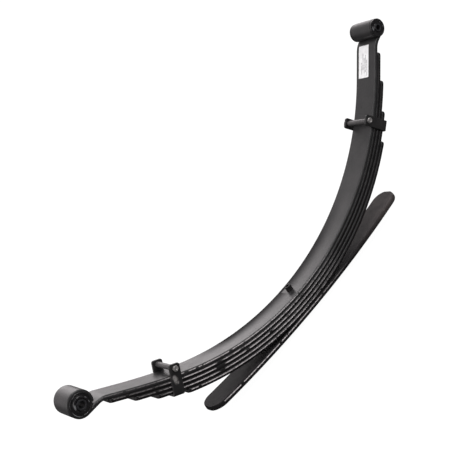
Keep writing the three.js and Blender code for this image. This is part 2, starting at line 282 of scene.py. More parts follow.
def attribute(tree, name):
    made = tree.nodes.new("ShaderNodeAttribute")
    made.attribute_name = name
    return made.outputs["Fac"]


def math_node(tree, operation, a, b, clamp=False):
    made = tree.nodes.new("ShaderNodeMath")
    made.operation = operation
    made.use_clamp = clamp
    for socket, value in zip(made.inputs, (a, b)):
        if isinstance(value, (int, float)):
            socket.default_value = value
        else:
            tree.links.new(value, socket)
    return made.outputs[0]


def blend_colors(tree, factor, a, b):
    made = tree.nodes.new("ShaderNodeMix")
    made.data_type = "RGBA"
    for socket, value in ((made.inputs[0], factor), (made.inputs[6], a), (made.inputs[7], b)):
        if isinstance(value, tuple):
            socket.default_value = (*value, 1)
        else:
            tree.links.new(value, socket)
    return made.outputs[2]


def bump(tree, surface, layers):
    """Stacks bumps. Each layer is (height socket, depth in metres, strength)."""
    last = None
    for height, depth, strength in layers:
        made = node(tree, "ShaderNodeBump", strength=strength, distance=depth)
        tree.links.new(height, made.inputs["Height"])
        if last:
            tree.links.new(last, made.inputs["Normal"])
        last = made.outputs["Normal"]
    tree.links.new(last, surface.inputs["Normal"])


def near_point(tree, point, radius, softness):
    """1 within a radius of a point in the object, falling to 0."""
    distance = vector_node(tree, "DISTANCE", object_place(tree), point)["Value"]
    return map_range(tree, distance, radius, radius + softness, 1.0, 0.0)


def near_points(tree, spots, softness):
    """1 within the radius of any of the (point, radius) spots, falling to 0."""
    marks = None
    for point, radius in spots:
        mark = near_point(tree, point, radius, softness)
        marks = mark if marks is None else math_node(tree, "MAXIMUM", marks, mark)
    return marks


def place_x(tree):
    parts = tree.nodes.new("ShaderNodeSeparateXYZ")
    tree.links.new(object_place(tree), parts.inputs[0])
    return parts.outputs["X"]


def cover(tree, surface, factor, color):
    """Lays a colour over what the surface's base colour already is."""
    base = surface.inputs["Base Color"].links[0].from_socket
    tree.links.new(blend_colors(tree, factor, base, color), surface.inputs["Base Color"])


def paint_material(name, dark, light, roughness, highlight_amount=1.0):
    """Black paint over spring steel: mottled tone, orange peel, dust, and a painted highlight along
    the upper rounded edges, pale bare-steel colour in beads, most of all towards the front eye."""
    material, tree, surface = new_material(name, dark, sum(roughness) / 2)
    mottle = ramp(tree, grain(tree, 28, 4.0), [(0.35, 0.0), (0.68, 1.0)])
    body = blend_colors(tree, mottle, dark, light)
    dust = ramp(tree, grain(tree, 900, 2.0), [(0.66, 0.0), (0.74, 1.0)])
    dusty = blend_colors(tree, math_node(tree, "MULTIPLY", dust, 0.25), body, DUST)
    beads = ramp(tree, grain(tree, 190, 5.0, 0.7), [(0.40, 0.35), (0.52, 1.0)])
    highlight_breaks = ramp(tree, grain(tree, 60, 3.0), [(0.36, 0.0), (0.44, 1.0)])
    beads = math_node(tree, "MULTIPLY", beads, highlight_breaks)
    fade = map_range(tree, place_x(tree), EDGE_HIGHLIGHT_FULL, EDGE_HIGHLIGHT_FAINT, highlight_amount, highlight_amount * EDGE_HIGHLIGHT_LEFT)
    begin = map_range(tree, place_x(tree), *EDGE_HIGHLIGHT_START, EDGE_HIGHLIGHT_BEFORE, 1.0)
    # Painted highlight: the edge attribute lays pale steel colour and some metallic along the upper rounded
    # edges, broken into beads and fading along the leaf the way the light falls on them.
    edge_highlight = math_node(tree, "MULTIPLY", attribute(tree, "edge"), beads)
    edge_highlight = math_node(tree, "MULTIPLY", edge_highlight, fade)
    edge_highlight = math_node(tree, "MULTIPLY", edge_highlight, begin)
    smear = near_point(tree, SMEAR_PLACE, *SMEAR_REACH)
    edge_highlight = math_node(tree, "MULTIPLY", edge_highlight, math_node(tree, "SUBTRACT", 1.0, smear), clamp=True)
    tree.links.new(blend_colors(tree, edge_highlight, dusty, PAINTED_EDGE_HIGHLIGHT), surface.inputs["Base Color"])
    tree.links.new(math_node(tree, "MULTIPLY", edge_highlight, 0.35), surface.inputs["Metallic"])
    sheen = map_range(tree, grain(tree, 65, 4.0), 0.0, 1.0, *roughness)
    matte = math_node(tree, "MAXIMUM", sheen, math_node(tree, "MULTIPLY", smear, SMEAR_ROUGHNESS))
    tree.links.new(matte, surface.inputs["Roughness"])
    bump(tree, surface, [
        (grain(tree, 170, 4.0, 0.6), 0.0006, 0.35),
        (grain(tree, 1100, 2.0), 0.00012, 0.4),
    ])
    return material


# Colour of the painted highlight along the upper rounded edges.
PAINTED_EDGE_HIGHLIGHT = (0.88, 0.83, 0.84)
DUST = (0.12, 0.115, 0.11)
EDGE_HIGHLIGHT_START = (-0.37, -0.31)  # stations where the painted edge highlight begins and is full
EDGE_HIGHLIGHT_BEFORE = 0.2  # how much of it there is before it begins
EDGE_HIGHLIGHT_FULL, EDGE_HIGHLIGHT_FAINT = -0.06, 0.14  # stations where it starts to fade and is nearly gone
EDGE_HIGHLIGHT_LEFT = 0.03  # how much of it is left beyond them
SMEAR_PLACE = (-0.243, -0.0318, 0.024)  # a matte smear of thick paint over the leaves' left edges
SMEAR_REACH = (0.010, 0.006)  # its radius and how softly it ends
SMEAR_ROUGHNESS = 0.8


def overload_material():
    """The helper leaf's duller paint, lighter and patchy towards its rear end."""
    material = paint_material("overload_paint", (0.006, 0.0056, 0.0062), (0.012, 0.011, 0.012), (0.5, 0.62))
    tree = material.node_tree
    surface = tree.nodes["Principled BSDF"]
    surface.inputs["Specular IOR Level"].default_value = 0.1
    rearward = map_range(tree, place_x(tree), *LIGHTER_REAR, smooth_ends=True)
    patchy = ramp(tree, grain(tree, 45, 4.0), [(0.3, 0.35), (0.7, 1.0)])
    cover(tree, surface, math_node(tree, "MULTIPLY", rearward, patchy), (0.052, 0.044, 0.043))
    return material


LIGHTER_REAR = (0.12, 0.36)  # stations where the lighter tone begins and is full


def strap_material():
    """The clip paint, with a pale patch on the front clip's left arm under its bolt."""
    material = paint_material("clip_paint", (0.006, 0.006, 0.0065), (0.016, 0.015, 0.015), (0.28, 0.45), 0.35)
    tree = material.node_tree
    ragged = ramp(tree, grain(tree, 150, 5.0, 0.65), [(0.38, 0.15), (0.55, 1.0)])
    pale_patch = math_node(tree, "MULTIPLY", near_points(tree, STRAP_PALE_SPOTS, 0.003), ragged)
    cover(tree, tree.nodes["Principled BSDF"], pale_patch, (0.22, 0.21, 0.205))
    return material


# Spots that make up the pale patch on the front clip's left arm.
STRAP_PALE_SPOTS = [
    ((-0.3345, -0.0373, 0.0870), 0.0030),
    ((-0.3350, -0.0373, 0.0815), 0.0036),
    ((-0.3365, -0.0373, 0.0765), 0.0028),
]


def main_leaf_material():
    """The leaf paint, with painted shade on the far side of its top face, a short scratch near the
    front clip and a chip near the rear one."""
    material = paint_material("main_leaf_paint", (0.012, 0.012, 0.0125), (0.022, 0.0213, 0.022),
                              (0.30, 0.42))
    tree = material.node_tree
    surface = tree.nodes["Principled BSDF"]
    # Painted shade: a dark diffuse shader mixed over the paint on the far side of the top face, along its
    # middle stretch.
    far_side = map_range(tree, attribute(tree, "across"), *FAR_SIDE, smooth_ends=True)
    shade_band = ramp(tree, attribute(tree, "along"), FAR_SIDE_SHADE_STATIONS)
    shade_band = math_node(tree, "MULTIPLY", shade_band, far_side)
    painted_shade_shader = node(tree, "ShaderNodeBsdfDiffuse", color=(0.008, 0.0075, 0.008, 1))
    blend = tree.nodes.new("ShaderNodeMixShader")
    tree.links.new(math_node(tree, "MULTIPLY", shade_band, 0.95), blend.inputs[0])
    tree.links.new(surface.outputs[0], blend.inputs[1])
    tree.links.new(painted_shade_shader.outputs[0], blend.inputs[2])
    tree.links.new(blend.outputs[0], tree.nodes["Material Output"].inputs["Surface"])
    cover(tree, surface, near_points(tree, SCUFFS, 0.0015), (0.004, 0.004, 0.004))
    return material


FAR_SIDE = (-0.014, 0.028)  # across the leaf, where the painted shade begins and is full
# Stations along the main leaf, in metres, and how strong the painted shade is on its right half.
FAR_SIDE_SHADE_STATIONS = [(0.36, 0.0), (0.46, 1.0), (0.78, 0.8), (0.94, 0.0)]
SCUFFS = [
    ((-0.4170, 0.0235, 0.1429), 0.0022),
    ((-0.4185, 0.0180, 0.1437), 0.0026),
    ((-0.4196, 0.0125, 0.1443), 0.0022),
    ((0.4303, 0.0099, 0.1635), 0.0016),
]


def bushing_material():
    """Moulded black polymer, glossy, with faint flow marks and painted highlights round each eye."""
    material, tree, surface = new_material("bushing_polymer", (0.006, 0.006, 0.007), 0.2)
    tone_and_glints = ramp(tree, grain(tree, 120, 4.0), [(0.3, (0.003, 0.003, 0.0035)), (0.75, (0.012, 0.011, 0.012))])
    # Painted highlights: pale arcs on the near bushing faces of both eyes.
    for centre in (FRONT_CENTRE, REAR_CENTRE):
        for turn, reach, width, spread in GLINTS:
            tone_and_glints = painted_glint_arc(tree, tone_and_glints, centre, turn, reach, width, spread)
    tree.links.new(tone_and_glints, surface.inputs["Base Color"])
    gloss = map_range(tree, grain(tree, 180, 4.0), 0.0, 1.0, 0.14, 0.38)
    tree.links.new(gloss, surface.inputs["Roughness"])
    bump(tree, surface, [(grain(tree, 220, 3.0), 0.0005, 0.35)])
    return material


def painted_glint_arc(tree, base, centre, turn, reach, width, spread):
    """A painted highlight: a pale arc round an eye's axis on the left, given by its middle's turn,
    radius, width and half length."""
    x, z = centre
    away = vector_node(tree, "SUBTRACT", object_place(tree), (x, 0, z))["Vector"]
    flat = vector_node(tree, "MULTIPLY", away, (1, 0, 1))["Vector"]
    length = vector_node(tree, "LENGTH", flat)["Value"]
    off = math_node(tree, "ABSOLUTE", math_node(tree, "SUBTRACT", length, reach), 0.0)
    ring = map_range(tree, off, width * 0.4, width, 1.0, 0.0)
    angle = math.radians(turn)
    middle = (x + reach * math.cos(angle), -LEAF_WIDTH / 2 - 0.006, z + reach * math.sin(angle))
    arc = near_point(tree, middle, spread * 0.5, spread)
    local = math_node(tree, "MULTIPLY", ring, arc)
    return blend_colors(tree, math_node(tree, "MULTIPLY", local, 0.8), base, (0.22, 0.225, 0.235))


GLINTS = [  # turn from +X towards +Z, radius, half width, half length
    (205, 0.0222, 0.0009, 0.009),
    (155, 0.0140, 0.0022, 0.004),
    (20, 0.0155, 0.0008, 0.002),
    (340, 0.0155, 0.0008, 0.002),
    (100, 0.0215, 0.0007, 0.003),
]


def metal_material(name, dark, light, roughness, metallic):
    """Steel under a thin finish, with a fine turned grain and dark spots."""
    material, tree, surface = new_material(name, dark, sum(roughness) / 2, metallic)
    tone = ramp(tree, grain(tree, 320, 5.0, 0.65), [(0.35, dark), (0.7, light)])
    tree.links.new(tone, surface.inputs["Base Color"])
    sheen = map_range(tree, grain(tree, 500, 3.0), 0.0, 1.0, *roughness)
    tree.links.new(sheen, surface.inputs["Roughness"])
    bump(tree, surface, [(grain(tree, 1400, 3.0), 0.0001, 0.4)])
    return material


def label_material():
    """White paper with broken grey rules along it and slight soiling."""
    material, tree, surface = new_material("label_paper", (0.88, 0.88, 0.87), 0.5)
    rules = None
    for place, start, end in LABEL_RULES:
        across = math_node(tree, "SUBTRACT", attribute(tree, "across"), place)
        across = math_node(tree, "ABSOLUTE", across, 0.0)
        line = math_node(tree, "LESS_THAN", across, RULE_HALF_WIDTH)
        along = attribute(tree, "along")
        begun = math_node(tree, "GREATER_THAN", along, start)
        ended = math_node(tree, "LESS_THAN", along, end)
        line = math_node(tree, "MULTIPLY", line, math_node(tree, "MULTIPLY", begun, ended))
        rules = line if rules is None else math_node(tree, "MAXIMUM", rules, line)
    breaks = ramp(tree, grain(tree, 420, 2.0), [(0.36, 0.25), (0.5, 1.0)])
    rules = math_node(tree, "MULTIPLY", rules, breaks)
    soil = ramp(tree, grain(tree, 90, 4.0), [(0.3, (0.76, 0.77, 0.77)), (0.6, (0.88, 0.89, 0.89))])
    ink = blend_colors(tree, math_node(tree, "MULTIPLY", rules, 0.9), soil, (0.16, 0.16, 0.17))
    tree.links.new(ink, surface.inputs["Base Color"])
    bump(tree, surface, [(grain(tree, 300, 3.0), 0.0003, 0.3)])
    return material


RULE_HALF_WIDTH = 0.0008
LABEL_RULES = [  # place across the label, start and end along it
    (-0.0105, 0.004, 0.040),
    (-0.0062, 0.012, 0.052),
    (-0.0020, 0.010, 0.046),
    (0.0022, 0.018, 0.056),
    (0.0064, 0.008, 0.036),
]


# ---- Mesh helpers ----
def add_object(name, points, faces, attributes=None):
    mesh = bpy.data.meshes.new(name)
    mesh.from_pydata([tuple(p) for p in points], [], faces)
    for key, values in (attributes or {}).items():
        mesh.attributes.new(key, "FLOAT", "POINT").data.foreach_set("value", values)
    made = bmesh.new()
    made.from_mesh(mesh)
    bmesh.ops.recalc_face_normals(made, faces=made.faces)
    made.to_mesh(mesh)
    made.free()
    smooth(mesh)
    piece = bpy.data.objects.new(name, mesh)
    bpy.context.scene.collection.objects.link(piece)
    return piece


def smooth(mesh):
    mesh.shade_smooth()
    mesh.set_sharp_from_angle(angle=math.radians(CREASE_ANGLE))


def cut(piece, *cutters):
    """Cuts the cutters out of a piece and removes them."""
    for cutter in cutters:
        modifier = piece.modifiers.new("cut", "BOOLEAN")
        modifier.operation = "DIFFERENCE"
        modifier.solver = "EXACT"
        modifier.object = cutter
    evaluated = piece.evaluated_get(bpy.context.evaluated_depsgraph_get())
    mesh = bpy.data.meshes.new_from_object(evaluated)
    piece.modifiers.clear()
    piece.data = mesh
    smooth(mesh)
    for cutter in cutters:
        bpy.data.objects.remove(cutter)
    return piece


def ring_faces(rings, size, closed=False):
    """Quads between rings of points, each ring a closed loop of that size."""
    faces = []
    for i in range(rings if closed else rings - 1):
        a, b = i * size, (i + 1) % rings * size
        for j in range(size):
            k = (j + 1) % size
            faces.append((a + j, a + k, b + k, b + j))
    return faces


def arc_points(center, radius, start, end, steps):
    """Points on an arc, from one angle to another in degrees."""
    return [
        (center[0] + radius * math.cos(angle), center[1] + radius * math.sin(angle))
        for angle in (math.radians(start + (end - start) * i / steps) for i in range(steps + 1))
    ]


def section(half_width, low, high, corner):
    """A bar's section as (across, up, painted-highlight weight), the same count each time. Its corners
    are quarter ellipses, taller than wide, weighted for the painted highlight where each upper one meets the
    side."""
    points = []
    tall = min(corner * EDGE_TALL, (high - low) / 2.02)
    wide = min(corner * EDGE_WIDE, half_width / 1.02)
    inset = min(SUPPORT, (half_width - wide) * 0.5)
    rise = min(SUPPORT, ((high - low) / 2 - tall) * 0.5)
    for turn, side, top in ((0, 1, 1), (90, -1, 1), (180, -1, -1), (270, 1, -1)):
        across = side * (half_width - wide)
        up = high - tall if top > 0 else low + tall
        quarter = arc_points((0, 0), 1, turn, turn + 90, CORNER_STEPS)
        bow = [(across + x * wide, up + y * tall) for x, y in quarter]
        if turn in (90, 270):
            bow.reverse()
        weights = HIGHLIGHT_CORNER if top > 0 else [0.0] * len(HIGHLIGHT_CORNER)
        bow.insert(0, (bow[0][0], bow[0][1] - top * rise))
        bow.append((bow[-1][0] - side * inset, bow[-1][1]))
        run = [(*p, weight) for p, weight in zip(bow, weights)]
        points.extend(reversed(run) if turn in (90, 270) else run)
    return points


def tip_inset(distance, radius):
    """How far a round corner draws in at a distance from the tip."""
    return radius - math.sqrt(max(0.0, radius**2 - (radius - distance) ** 2)) if distance < radius else 0.0


class Path:
    """A polyline in a plane: each point is (a, b, heading), a and b in metres."""

    def __init__(self, points):
        self.points = points
        self.lengths = [0.0]
        for (a0, b0, _), (a1, b1, _) in zip(points, points[1:]):
            self.lengths.append(self.lengths[-1] + math.hypot(a1 - a0, b1 - b0))
        self.total = self.lengths[-1]

    def at(self, distance):
        distance = min(max(distance, 0.0), self.total)
        i = next((k for k, s in enumerate(self.lengths) if s >= distance and k), 1)
        span = self.lengths[i] - self.lengths[i - 1]
        share = (distance - self.lengths[i - 1]) / span
        return tuple(p + share * (q - p) for p, q in zip(self.points[i - 1], self.points[i]))

    def between(self, front, rear):
        """The part whose first coordinate runs from front to rear."""
        def station(a):
            i = next(k for k, p in enumerate(self.points) if p[0] > a)
            p, q = self.points[i - 1], self.points[i]
            share = (a - p[0]) / (q[0] - p[0])
            return tuple(u + share * (v - u) for u, v in zip(p, q))
        inside = [p for p in self.points if front < p[0] < rear]
        return Path([station(front), *inside, station(rear)])

    def stations(self, tip, edge):
        """Distances along the path, dense where its points are and where the tips round off."""
        near = [radius * (1 - math.cos(math.radians(7.5 * i))) for radius in (tip, edge) for i in range(13)]
        chosen = near + [self.total - d for d in near]
        reach = max(tip, edge)
        chosen += [s for s in self.lengths if reach < s < self.total - reach]
        chosen.sort()
        kept = [chosen[0]]
        for s in chosen[1:]:
            if s - kept[-1] > 2e-5:
                kept.append(s)
        kept[-1] = self.total
        return kept


def walk(run, start=(SEAT_HALF, 0.0, math.asin(SEAT_HALF / ARCH_RADIUS))):
    """Points along a run of arcs and straights. A positive turn bends it up."""
    a, b, heading = start
    points = [start]
    for stretch in run:
        turn = math.radians(stretch.get("turn", 0.0))
        length = stretch["length"] if "length" in stretch else abs(turn) * stretch["radius"]
        count = max(1, math.ceil(length / SWEEP_STEP), math.ceil(abs(math.degrees(turn)) / MAX_TURN))
        bend = turn / count
        chord = length / count if not turn else 2 * stretch["radius"] * math.sin(abs(bend) / 2)
        for _ in range(count):
            a += chord * math.cos(heading + bend / 2)
            b += chord * math.sin(heading + bend / 2)
            heading += bend
            points.append((a, b, heading))
    return points


def mirrored(points):
    return [(-a, b, -heading) for a, b, heading in reversed(points)]


def sweep(name, path, to_space, half_width, low, high, corner, tip, shift=0.0, unevenness=0.0):
    """A bar of rectangular section with round edges along a path, and round corners at its tips.
    to_space turns (a, b, heading, across, up) into a point."""
    points, edges, along, across = [], [], [], []
    stations = path.stations(tip, corner)
    middle = (low + high) / 2
    for s in stations:
        a, b, heading = path.at(s)
        distance = min(s, path.total - s)
        draw = tip_inset(distance, corner)
        half = half_width - tip_inset(distance, tip) - (draw if distance < corner else 0.0) * 0.5
        half += unevenness * noise.noise(Vector((s * 90, half_width * 31, low * 900)))
        thick = (high - low) / 2 - draw
        for u, w, weight in section(half, middle - thick, middle + thick, max(corner - draw, corner * 0.12)):
            points.append(to_space(a, b, heading, u + shift, w))
            # The edge attribute carries the painted highlight along the upper edges; it is left off the round
            # tips.
            edges.append(weight if tip_inset(distance, tip) == 0 else 0.0)
            along.append(s)
            across.append(u)
    size = len(points) // len(stations)
    faces = ring_faces(len(stations), size)
    faces.append(tuple(range(size)))
    faces.append(tuple(range(len(points) - size, len(points))))
    return add_object(name, points, faces, {"edge": edges, "along": along, "across": across})


def leaf_space(a, b, heading, across, up):
    return Vector((a - up * math.sin(heading), across, b + up * math.cos(heading)))


def fillet(profile, steps=5):
    """A closed profile of (r, h, radius) with each corner rounded by its radius."""
    made = []
    for i, (r, h, radius) in enumerate(profile):
        corner = Vector((r, h))
        back = Vector(profile[i - 1][:2]) - corner
        ahead = Vector(profile[(i + 1) % len(profile)][:2]) - corner
        if radius <= 0:
            made.append((r, h))
            continue
        half = back.angle(ahead) / 2
        reach = min(radius / math.tan(half), back.length * 0.49, ahead.length * 0.49)
        p, q = corner + back.normalized() * reach, corner + ahead.normalized() * reach
        for k in range(steps + 1):
            t = k / steps
            made.append(tuple(p * (1 - t) ** 2 + corner * 2 * t * (1 - t) + q * t**2))
    return made


def with_supports(profile, reach=0.0004):
    """Adds a point close to both ends of each long straight, to hold the faces flat."""
    made = []
    for p, q in zip(profile, profile[1:] + profile[:1]):
        made.append(p)
        span = math.hypot(q[0] - p[0], q[1] - p[1])
        if span > 3 * reach:
            for share in (reach / span, 1 - reach / span):
                made.append((p[0] + share * (q[0] - p[0]), p[1] + share * (q[1] - p[1])))
    return made


def turned_ring(name, profile, place, steps=ROUND_STEPS):
    """A closed profile of (r, h) turned about an axis. place turns (x, y, h) into a point."""
    points, edges = [], []
    for i in range(steps):
        angle = 2 * math.pi * i / steps
        for r, h in profile:
            points.append(place(r * math.cos(angle), r * math.sin(angle), h))
            edges.append(0.0)
    return add_object(name, points, ring_faces(steps, len(profile), closed=True), {"edge": edges})


def turned_solid(name, profile, place, steps=ROUND_STEPS, outline=None):
    """A profile of (r, h) from bottom to top turned about an axis, with both ends capped."""
    points = []
    for r, h in profile:
        for i in range(steps):
            angle = 2 * math.pi * i / steps
            radius, height = outline(angle, r, h) if outline else (r, h)
            points.append(place(radius * math.cos(angle), radius * math.sin(angle), height))
    faces = ring_faces(len(profile), steps)
    faces.append(tuple(range(steps)))
    faces.append(tuple(range(len(points) - steps, len(points))))
    return add_object(name, points, faces, {"edge": [0.0] * len(points)})


def about_y(x, z, side=1):
    """Places a turned piece on an axis along Y, with its height outwards on one side."""
    return lambda u, v, h: Vector((x + u, side * h, z + v))


def about_z(u, v, h):
    return Vector((u, v, h))


def hex_radius(flats, angle):
    """The distance from a hexagon's middle to its outline at an angle."""
    sixth = math.pi / 3
    return flats / 2 / math.cos((angle % sixth) - sixth / 2)


def join(*pieces):
    """Joins pieces into the first as one mesh of separate solids."""
    made = bmesh.new()
    for piece in pieces:
        made.from_mesh(piece.data)
    mesh = bpy.data.meshes.new(pieces[0].data.name)
    made.to_mesh(mesh)
    made.free()
    smooth(mesh)
    pieces[0].data = mesh
    for piece in pieces[1:]:
        bpy.data.objects.remove(piece)
    return pieces[0]


def finish_piece(piece, material, body, nodes):
    piece.data.materials.clear()
    piece.data.materials.append(material)
    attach(piece, body)
    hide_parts(*nodes)
    return piece


# ---- Paths ----
rear_points = walk(REAR_RUN)
front_points = walk(FRONT_RUN)
arch = Path(mirrored(front_points) + rear_points)


def eye_centre(points, eye, side):
    a, b, heading = points[-1]
    return side * (a - eye["bore"] * math.sin(heading)), b + eye["bore"] * math.cos(heading)


def wrap(points, eye):
    return walk([{"radius": eye["bore"], "turn": EYE_WRAP}], points[-1])[1:]


FRONT_CENTRE = eye_centre(front_points, FRONT_EYE, -1)
REAR_CENTRE = eye_centre(rear_points, REAR_EYE, 1)


# ---- Leaves ----
def bore_z(radius, low, high):
    return turned_solid("cutter", [(radius, low), (radius, high)], about_z, 48)


def main_leaf():
    whole = Path(
        mirrored(front_points + wrap(front_points, FRONT_EYE))
        + rear_points
        + wrap(rear_points, REAR_EYE)
    )
    piece = sweep(
        "main_leaf_steel", whole, leaf_space, LEAF_WIDTH / 2, -LEAF_THICKNESS, 0.0,
        EDGE_ROUND, 0.002, unevenness=0.00012,
    )
    return cut(piece, bore_z(CENTER_BOLT["shank"] + GAP, -LEAF_PITCH, LEAF_PITCH))


def short_leaf(name, front, rear, below):
    high = -below * LEAF_PITCH
    piece = sweep(
        f"{name}_steel", arch.between(front, rear), leaf_space, LEAF_WIDTH / 2,
        high - LEAF_THICKNESS, high, EDGE_ROUND, TIP_CORNER, unevenness=0.00018,
    )
    cutters = [bore_z(CENTER_BOLT["shank"] + GAP, high - 2 * LEAF_PITCH, high + LEAF_PITCH)]
    if below == CLIP["leaves"] - 1:
        for _, station in CLIPS:
            low = -CLIP["leaves"] * LEAF_PITCH - LEAF_PITCH
            rod = bore_z(CLIP["bolt_shank"] + GAP, low, low + 3 * LEAF_PITCH)
            rod.data.transform(clip_matrix(station))
            cutters.append(rod)
    return cut(piece, *cutters)


def overload_leaf():
    top = -5 * LEAF_PITCH
    bottom = top - OVERLOAD["thickness"]

    def side(reach):
        start = math.copysign(SEAT_HALF, reach)
        count = math.ceil(abs(reach - start) / (2 * SWEEP_STEP))
        xs = [start + (reach - start) * i / count for i in range(count + 1)]
        radius = OVERLOAD["radius"]
        return [(x, (x * x - SEAT_HALF**2) / (2 * radius), math.atan(x / radius)) for x in xs]

    path = Path(side(OVERLOAD["front"])[::-1] + side(OVERLOAD["rear"]))
    piece = sweep(
        "overload_leaf_steel", path, leaf_space, LEAF_WIDTH / 2, bottom, top,
        EDGE_ROUND, LEAF_WIDTH / 2 - 0.003, unevenness=0.00015,
    )
    return cut(piece, bore_z(CENTER_BOLT["shank"] + GAP, bottom - 0.001, top + 0.001))


# ---- Centre bolt and nut ----
def knurl(angle, r, h):
    """Fine ridges down the side of the socket head."""
    head, top = CENTER_BOLT["head"], CENTER_BOLT["head_height"]
    ridges = 44
    if r > head * 0.99 and 0.0015 < h < top - 0.0018:
        return r - 0.0002 + 0.0002 * abs(math.sin(angle * ridges / 2)), h
    return r, h


def threaded(name, radius, low, high, place, pitch=0.00125):
    """A rod with a helical thread and a chamfered end."""
    depth = 0.0006 * pitch / 0.001
    rows = max(4, math.ceil((high - low) / (pitch / 8)))
    profile = [(radius, low + (high - low) * i / rows) for i in range(rows + 1)]

    def outline(angle, r, h):
        phase = (h / pitch - angle / (2 * math.pi)) % 1.0
        chamfer = max(0.0, h - (high - 0.0008))
        return r - depth * abs(2 * phase - 1) - chamfer, h

    return turned_solid(name, profile, place, 48, outline)


def center_bolt():
    bolt = CENTER_BOLT
    bottom = -5 * LEAF_PITCH - OVERLOAD["thickness"]
    end = bottom - GAP - bolt["nut_height"] - bolt["tail"]
    top = bolt["head_height"]
    head = bolt["head"]
    profile = [(bolt["shank"], bottom), (bolt["shank"], GAP)]
    profile += [(head - 0.0004, GAP), (head, GAP + 0.0004)]
    profile += [(head, h) for h in (0.0014, 0.0016, top - 0.0020, top - 0.0017)]
    profile += arc_points((head - 0.0012, top - 0.0012), 0.0012, 0, 90, 5)
    profile += [(head - 0.0018, top)]
    body = turned_solid("center_bolt_steel", profile, about_z, 176, knurl)

    def socket(angle, r, h):
        return (hex_radius(bolt["socket_flats"], angle), h) if r > 0.003 else (r, h)

    floor = top - bolt["socket_depth"]
    cutter = turned_solid(
        "socket", [(0.001, floor - 0.0012), (0.004, floor), (0.004, top + 0.001)], about_z, 48, socket
    )
    flare = turned_solid("flare", [(0.0040, top - 0.0005), (0.0052, top + 0.0006)], about_z, 64)
    body = cut(body, cutter, flare)
    tail = threaded("tail", bolt["shank"], -bottom, -end, lambda u, v, h: Vector((u, v, -h)))
    return join(body, tail)


def hex_solid(name, flats, low, high, place, chamfer_low=False, bore=0.0, lip=0.0):
    """A hexagon head or nut with coned corners, a washer face below and a bore if it has one."""
    flat_circle = flats / 2 * 0.95
    slope = math.tan(math.radians(30))

    def drop(angle):
        return max(0.0, hex_radius(flats, angle) - flat_circle) * slope

    steps = ROUND_STEPS
    levels = []
    base = low + lip
    if lip:
        levels += [lambda a: (flat_circle - 0.0002, low), lambda a: (flat_circle - 0.0002, base)]
    if chamfer_low:
        levels += [lambda a: (flat_circle, base), lambda a: (hex_radius(flats, a), base + drop(a))]
    else:
        levels += [lambda a: (hex_radius(flats, a), base)]
    levels += [lambda a: (hex_radius(flats, a), high - drop(a)), lambda a: (flat_circle, high)]
    flare = 0.0006
    if not bore:
        cup = flats * 0.3
        levels += [lambda a: (cup, high), lambda a: (cup - flare, high - flare)]
    else:
        levels += [
            lambda a: (bore + flare, high),
            lambda a: (bore, high - flare),
            lambda a: (bore, low + flare),
            lambda a: (bore + flare, low),
        ]
    points = []
    for level in levels:
        for i in range(steps):
            angle = 2 * math.pi * i / steps
            r, h = level(angle)
            points.append(place(r * math.cos(angle), r * math.sin(angle), h))
    faces = ring_faces(len(levels), steps, closed=bool(bore))
    if not bore:
        faces.append(tuple(range(steps)))
        faces.append(tuple(range(len(points) - steps, len(points))))
    return add_object(name, points, faces, {"edge": [0.0] * len(points)})


def center_nut():
    bolt = CENTER_BOLT
    high = -5 * LEAF_PITCH - OVERLOAD["thickness"] - GAP
    return hex_solid(
        "center_nut_steel", bolt["nut_flats"], -high, -high + bolt["nut_height"],
        lambda u, v, h: Vector((u, v, -h)), True, bolt["shank"] + GAP, 0.0004,
    )


# ---- Eyes ----
def bushing_half(eye, centre, side, word):
    face = LEAF_WIDTH / 2 + GAP
    flange_end = face + eye["flange_thickness"]
    boss_end = flange_end + eye["boss_height"]
    inner = eye["sleeve"] + GAP
    flange, boss = eye["flange"], eye["boss"] + GAP
    dish = 0.0009 if eye is FRONT_EYE else 0.0003
    rim = flange - (0.0026 if eye is FRONT_EYE else 0.0015)
    lip = 0.0016 if eye is FRONT_EYE else 0.0003
    shoulder = 0.0024 if eye is FRONT_EYE else 0.0008
    profile = [
        (inner, GAP, 0.0002),
        (eye["bore"] - GAP, GAP, 0.0006),
        (eye["bore"] - GAP, face, 0.0001),
        (flange, face, 0.0004),
        (flange, flange_end, 0.0009),
        (rim, flange_end, 0.0004),
        (rim - dish, flange_end - dish, 0.0003),
        (boss + shoulder * 0.5, flange_end - dish, 0.0005),
        (boss - lip * 0.2, boss_end, 0.0012),
        (inner + lip, boss_end, 0.0005),
        (inner, boss_end - lip * 0.9, 0.0002),
    ]
    smoothed = with_supports(fillet(profile))
    return turned_ring(f"{eye['name']}_bushing_{word}_moulded", smoothed, about_y(*centre, side))


def sleeve(eye, centre):
    reach = LEAF_WIDTH / 2 + eye["flange_thickness"] + eye["boss_height"] + 2 * GAP + 0.001
    bore, outer = eye["sleeve_bore"], eye["sleeve"]
    profile = [
        (bore, -reach, 0.0006),
        (outer, -reach, 0.0005),
        (outer, reach, 0.0005),
        (bore, reach, 0.0006),
    ]
    return turned_ring(f"{eye['name']}_sleeve_tube", with_supports(fillet(profile)), about_y(*centre))


# ---- Rebound clips ----
ARM_INNER = LEAF_WIDTH / 2 + CLIP["side_gap"]
ARM_OUTER = ARM_INNER + CLIP["thickness"]
CLIP_FLOOR = -CLIP["leaves"] * LEAF_PITCH
CLIP_BOTTOM = CLIP_FLOOR - CLIP["thickness"]


def clip_matrix(station):
    """The clip's own frame on the leaf: X along the leaf, Z along its upper normal."""
    x, z, heading = arch.between(station, station + 0.001).points[0]
    return Matrix.Translation((x, 0, z)) @ Matrix.Rotation(-heading, 4, "Y")


